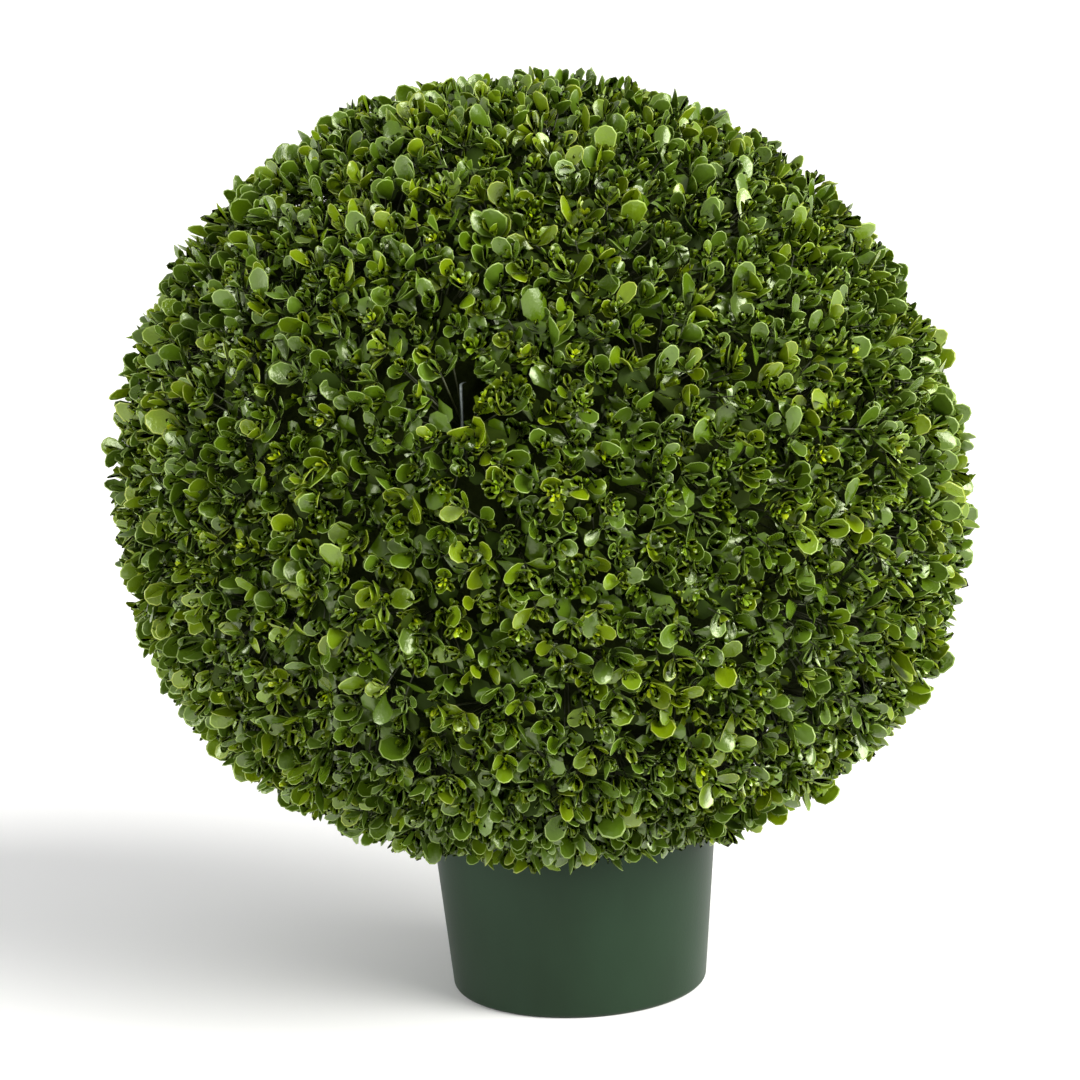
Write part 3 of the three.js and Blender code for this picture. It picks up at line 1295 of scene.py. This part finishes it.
    def _stem_pattern(self) -> Pattern:
        """Models a stem of unit length and radius along +Y: a three-sided cone, cut across and bent.

        Returns:
            Its pattern.
        """
        middle = (0, 0.5, 0)
        Workpiece.ready()
        bpy.ops.mesh.primitive_cone_add(
            vertices=3,
            radius1=1.0,
            radius2=self.stem_taper,
            depth=1.0,
            location=middle,
            rotation=(-math.pi / 2, 0, 0),
        )
        stem = Workpiece("stem")
        stem.pick_all()
        bpy.ops.mesh.bisect(plane_co=middle, plane_no=(0, 1, 0))
        stem.pick(lambda point: abs(point.y - middle[1]) < NEAR)
        stem.move(x=self.stem_bend[0], z=self.stem_bend[1])
        return Pattern.taken_from(stem.done())

    @staticmethod
    def _stretched(pattern: Pattern, starts: np.ndarray, ends: np.ndarray, radius: float) -> Copies:
        """Stretches copies of a stem between points.

        Args:
            pattern: the stem.
            starts: where the copies start.
            ends: where they end.
            radius: how thick they are at the start.

        Returns:
            The copies.
        """
        along = ends - starts
        askew = np.array([0.3, 0.2, 1.0])
        side = unit(np.cross(along, askew))
        other = unit(np.cross(side, along))
        return Copies(pattern, np.stack([side * radius, along, other * radius], axis=2), starts)

    def _heart(self) -> bpy.types.Object:
        """Models the dark heart from a sphere: halves squashed, sunk at the gaps, lumpy, cut flat at the pot.
        Its dark colour is painted shade, the shadowed depth of the crown seen through the gaps.

        Returns:
            The piece.
        """
        crown = self.crown
        centre = Vector(crown.centre)
        radius = crown.radius - crown.heart_depth
        Workpiece.ready()
        bpy.ops.mesh.primitive_ico_sphere_add(subdivisions=self.heart_cuts, radius=radius, location=centre)
        heart = Workpiece("crown_shade_heart")
        for side, height in ((1, crown.height_above), (-1, crown.depth_below)):
            heart.pick(lambda point, side=side: (point.z - centre.z) * side > NEAR)
            heart.resize((1, 1, (height - crown.heart_depth) / radius), centre)
        heart.pick(self._at_gap)
        heart.resize((self.gap_sink,) * 3, centre)
        heart.modify("DISPLACE", texture=clouds("heart_lumps", self.lump_size), strength=self.lump_height)
        heart.pick_all()
        floor = crown.pot_top + crown.pot_clearance
        bpy.ops.mesh.bisect(plane_co=(0, 0, floor), plane_no=(0, 0, -1), use_fill=True, clear_outer=True)
        piece = heart.done(self.smooth_angle)
        piece.data.materials.append(HEART_SHADE.material())
        return piece

    def _at_gap(self, point: Vector) -> bool:
        """Says whether a point of the heart lies under one of the gaps or near it."""
        direction = (point - Vector(self.crown.centre)).normalized()
        return bool(self.crown.in_gap(np.array([direction]), self.heart_gap_share)[0])


# ---------------- wire, stem and pot


@dataclass
class FrameWire:
    """An upright wire of the ball's frame, with a hooked top, that shows in the larger gap."""

    crown: Crown
    sides: int = 12
    radius: float = 0.0011
    length: float = 0.05
    depth: float = 0.026
    azimuth: float = -11.1
    elevation: float = 18.6
    hook_steps: int = 5
    hook_step: float = 0.0009
    smooth_angle: float = 50.0

    def build(self) -> bpy.types.Object:
        """Models the wire from a cylinder whose top is extruded and turned into a hook.

        Returns:
            The piece.
        """
        direction = self.crown.compass(self.azimuth, self.elevation)[0]
        middle = self.crown.centre + direction * (self.crown.reach(direction[None])[0] - self.depth)
        Workpiece.ready()
        bpy.ops.mesh.primitive_cylinder_add(
            vertices=self.sides, radius=self.radius, depth=self.length, location=middle
        )
        wire = Workpiece("frame_wire")
        top = float(middle[2]) + self.length / 2
        wire.pick(lambda point: point.z > top - NEAR, "FACE")
        for step in range(1, self.hook_steps + 1):
            angle = step * (math.pi / 2 / self.hook_steps)
            wire.extrude(x=self.hook_step * math.sin(angle), z=self.hook_step * math.cos(angle))
        wire.modify("SUBSURF", levels=1, render_levels=1)
        piece = wire.done(self.smooth_angle)
        piece.data.materials.append(ZINC.material())
        return settle(piece, "stem")


@dataclass
class StemPost:
    """The short stem inside, with its bark in relief, in the place of its CAD solid."""

    sides: int = 28
    levels: int = 30
    relief: float = 0.0006
    bark_size: float = 0.006
    top_share: float = 0.73
    lean_share: float = 0.45
    smooth_angle: float = 40.0

    def build(self) -> bpy.types.Object:
        """Models the stem from a cylinder that is tapered, leant and cut across, with bark by displacement.

        Returns:
            The piece.
        """
        low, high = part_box("stem")
        radius = (high[1] - low[1]) / 2 - 2 * self.relief
        lean = ((high[0] - low[0]) - 2 * radius) * self.lean_share
        foot_x, middle = (low[0] + high[0]) / 2 + lean / 2, (low[2] + high[2]) / 2
        height = high[2] - low[2] - 4 * self.relief
        Workpiece.ready()
        bpy.ops.mesh.primitive_cylinder_add(
            vertices=self.sides, radius=radius, depth=height, location=(foot_x, 0, middle)
        )
        stem = Workpiece("stem_post")
        stem.pick(lambda point: point.z > middle)
        stem.resize((self.top_share, self.top_share, 1), (foot_x, 0, 0))
        stem.move(x=-lean)
        stem.pick(lambda point: abs(point.z - middle) < NEAR, "EDGE")
        bpy.ops.mesh.subdivide(number_cuts=self.levels)
        stem.modify("DISPLACE", texture=clouds("bark", self.bark_size), strength=4 * self.relief)
        piece = stem.done(self.smooth_angle)
        piece.data.materials.append(BARK.material())
        return settle(piece, "stem", "stem")


@dataclass
class Pot:
    """The tapered round plastic pot, with a rolled rim, in the place of its CAD solid."""

    sides: int = 128
    spread: float = 0.092
    wall: float = 0.0024
    floor: float = 0.004
    foot_round: float = 0.004
    foot_steps: int = 5
    rim_height: float = 0.009
    rim_proud: float = 0.0026
    rim_round: float = 0.0011
    rim_steps: int = 3
    smooth_angle: float = 38.0
    height: float = field(init=False)
    rim_radius: float = field(init=False)

    def __post_init__(self) -> None:
        """Takes the pot's height and its rim from its CAD solid's box."""
        low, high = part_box("pot")
        self.height = float(high[2] - low[2])
        self.rim_radius = float(high[0] - low[0]) / 2

    def _radius_at(self, z: float) -> float:
        """Gives the wall's outer radius at a height."""
        return self.rim_radius - self.rim_proud - self.spread * (self.height - z)

    def build(self) -> bpy.types.Object:
        """Models the pot from a cylinder: tapered, with its rim extruded, hollowed and rounded off.

        Returns:
            The piece.
        """
        rim_foot = self.height - self.rim_height
        Workpiece.ready()
        bpy.ops.mesh.primitive_cylinder_add(
            vertices=self.sides, radius=self._radius_at(0.0), depth=rim_foot, location=(0, 0, rim_foot / 2)
        )
        pot = Workpiece("pot_shell")
        pot.pick(lambda point: point.z > rim_foot - NEAR, "FACE")
        self._widen(pot, self._radius_at(rim_foot) / self._radius_at(0.0), rim_foot)
        pot.extrude()
        self._widen(pot, self.rim_radius / self._radius_at(rim_foot), rim_foot)
        pot.extrude(z=self.rim_height)
        inner_radius = self._radius_at(self.height) - self.wall
        bpy.ops.mesh.inset(thickness=self.rim_radius - inner_radius, depth=0)
        pot.extrude(z=self.floor - self.height)
        self._widen(pot, (self._radius_at(self.floor) - self.wall) / inner_radius, self.floor)
        pot.pick(lambda point: point.z < NEAR, "EDGE")
        bpy.ops.mesh.bevel(offset=self.foot_round, segments=self.foot_steps, affect="EDGES")
        pot.pick(self._on_rim_edge, "EDGE")
        bpy.ops.mesh.bevel(offset=self.rim_round, segments=self.rim_steps, affect="EDGES")
        piece = pot.done(self.smooth_angle)
        piece.data.materials.append(POT_PLASTIC.material())
        return settle(piece, "pot", "pot")

    @staticmethod
    def _widen(pot: Workpiece, share: float, height: float) -> None:
        """Widens what is picked about the pot's axis, at a height."""
        pot.resize((share, share, 1), (0, 0, height))

    def _on_rim_edge(self, point: Vector) -> bool:
        """Says whether a point lies on the upper or lower outer edge of the rim.

        Args:
            point: the point.

        Returns:
            True if it does.
        """
        levels = (self.height, self.height - self.rim_height)
        outer = math.hypot(point.x, point.y) > self.rim_radius - NEAR
        return outer and any(abs(point.z - level) < NEAR for level in levels)


@dataclass(frozen=True)
class PotWeight:
    """The cast weight in the pot, whose CAD solid is kept."""

    node: str = "pot_filling"

    def dress(self) -> None:
        """Gives the solid its cement."""
        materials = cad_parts[self.node].data.materials
        materials.clear()
        materials.append(CEMENT.material())


# ---------------- studio


@dataclass(frozen=True)
class Softbox:
    """A square studio light that faces the plant."""

    place: Place
    size: float
    power: float


@dataclass
class Studio:
    """A pale floor, one broad key light, softboxes and a camera a little above the plant."""

    distance: float = 2.5
    camera_height: float = 0.826
    camera_aside: float = -0.016
    pitch: float = 11.29
    roll: float = 2.4
    lens: float = 119.4
    sensor: float = 36.0
    floor_size: float = 80.0
    floor_colour: Colour = (0.94, 0.94, 0.94)
    floor_roughness: float = 0.9
    sky: Colour = (1.0, 1.0, 1.0)
    sky_strength: float = 0.60
    key_from: Place = (1.3, -0.86, 0.98)
    key_strength: float = 5.1
    key_spread: float = 42.0
    key_warmth: Colour = (1.0, 0.985, 0.94)
    softboxes: tuple[Softbox, ...] = (
        Softbox((-2.1, -1.0, 0.7), 1.0, 34.0),
        Softbox((1.9, -0.9, 1.0), 1.0, 20.0),
    )

    def build(self) -> None:
        """Makes the floor, the lights and the camera."""
        self._floor()
        self._sky()
        self._key()
        for number, softbox in enumerate(self.softboxes):
            self._softbox(number, softbox)
        self._camera()
        bpy.context.scene.view_settings.view_transform = "Standard"

    def _key(self) -> None:
        """Hangs the key light, far off, above and to the right."""
        light = bpy.data.lights.new("key", "SUN")
        light.energy = self.key_strength
        light.angle = math.radians(self.key_spread)
        light.color = self.key_warmth
        self._hang(light, self.key_from, Vector((0, 0, 0)))

    def _floor(self) -> None:
        """Lays the floor."""
        Workpiece.ready()
        bpy.ops.mesh.primitive_plane_add(size=self.floor_size)
        floor = bpy.context.object
        floor.name = "floor"
        floor.data.materials.append(Shader("pale_floor", self.floor_colour, self.floor_roughness).material)

    def _sky(self) -> None:
        """Sets the even light from all round."""
        world = bpy.data.worlds.new("studio")
        world.use_nodes = True
        background = world.node_tree.nodes["Background"]
        background.inputs["Color"].default_value = (*self.sky, 1.0)
        background.inputs["Strength"].default_value = self.sky_strength
        bpy.context.scene.world = world

    def _softbox(self, number: int, softbox: Softbox) -> None:
        """Hangs one softbox, aimed at the middle of the plant.

        Args:
            number: its number.
            softbox: its place, size and power.
        """
        low, high = CAD_BOX
        light = bpy.data.lights.new(f"softbox_{number}", "AREA")
        light.size = softbox.size
        light.energy = softbox.power
        self._hang(light, softbox.place, (low + high) / 2)

    @staticmethod
    def _hang(light: bpy.types.Light, place: Place, aim: Vector) -> None:
        """Hangs a light at a place and turns it towards another.

        Args:
            light: the light.
            place: where it hangs.
            aim: what it is turned to.
        """
        lamp = bpy.data.objects.new(light.name, light)
        lamp.location = place
        lamp.rotation_euler = (aim - Vector(place)).to_track_quat("-Z", "Y").to_euler()
        bpy.context.scene.collection.objects.link(lamp)

    def _camera(self) -> None:
        """Sets up the camera."""
        pitch, roll = math.radians(self.pitch), math.radians(self.roll)
        level = Vector((1, 0, 0))
        forward = Vector((0, math.cos(pitch), -math.sin(pitch)))
        upright = level.cross(forward)
        right = level * math.cos(roll) - upright * math.sin(roll)
        up = level * math.sin(roll) + upright * math.cos(roll)
        lens = bpy.data.cameras.new("camera")
        lens.lens = self.lens
        lens.sensor_width = self.sensor
        camera = bpy.data.objects.new("camera", lens)
        place = Matrix.Translation((self.camera_aside, -self.distance, self.camera_height))
        camera.matrix_world = place @ Matrix((right, up, -forward)).transposed().to_4x4()
        bpy.context.scene.collection.objects.link(camera)
        bpy.context.scene.camera = camera


# ---------------- the whole


def main() -> None:
    """Builds the plant and its studio, in order."""
    logging.basicConfig(level=logging.INFO, format="%(name)s: %(message)s")
    Studio().build()
    Pot().build()
    PotWeight().dress()
    StemPost().build()
    crown = Crown()
    FrameWire(crown).build()
    Foliage(crown).build()
    Workpiece.ready()


if __name__ == "__main__":
    main()
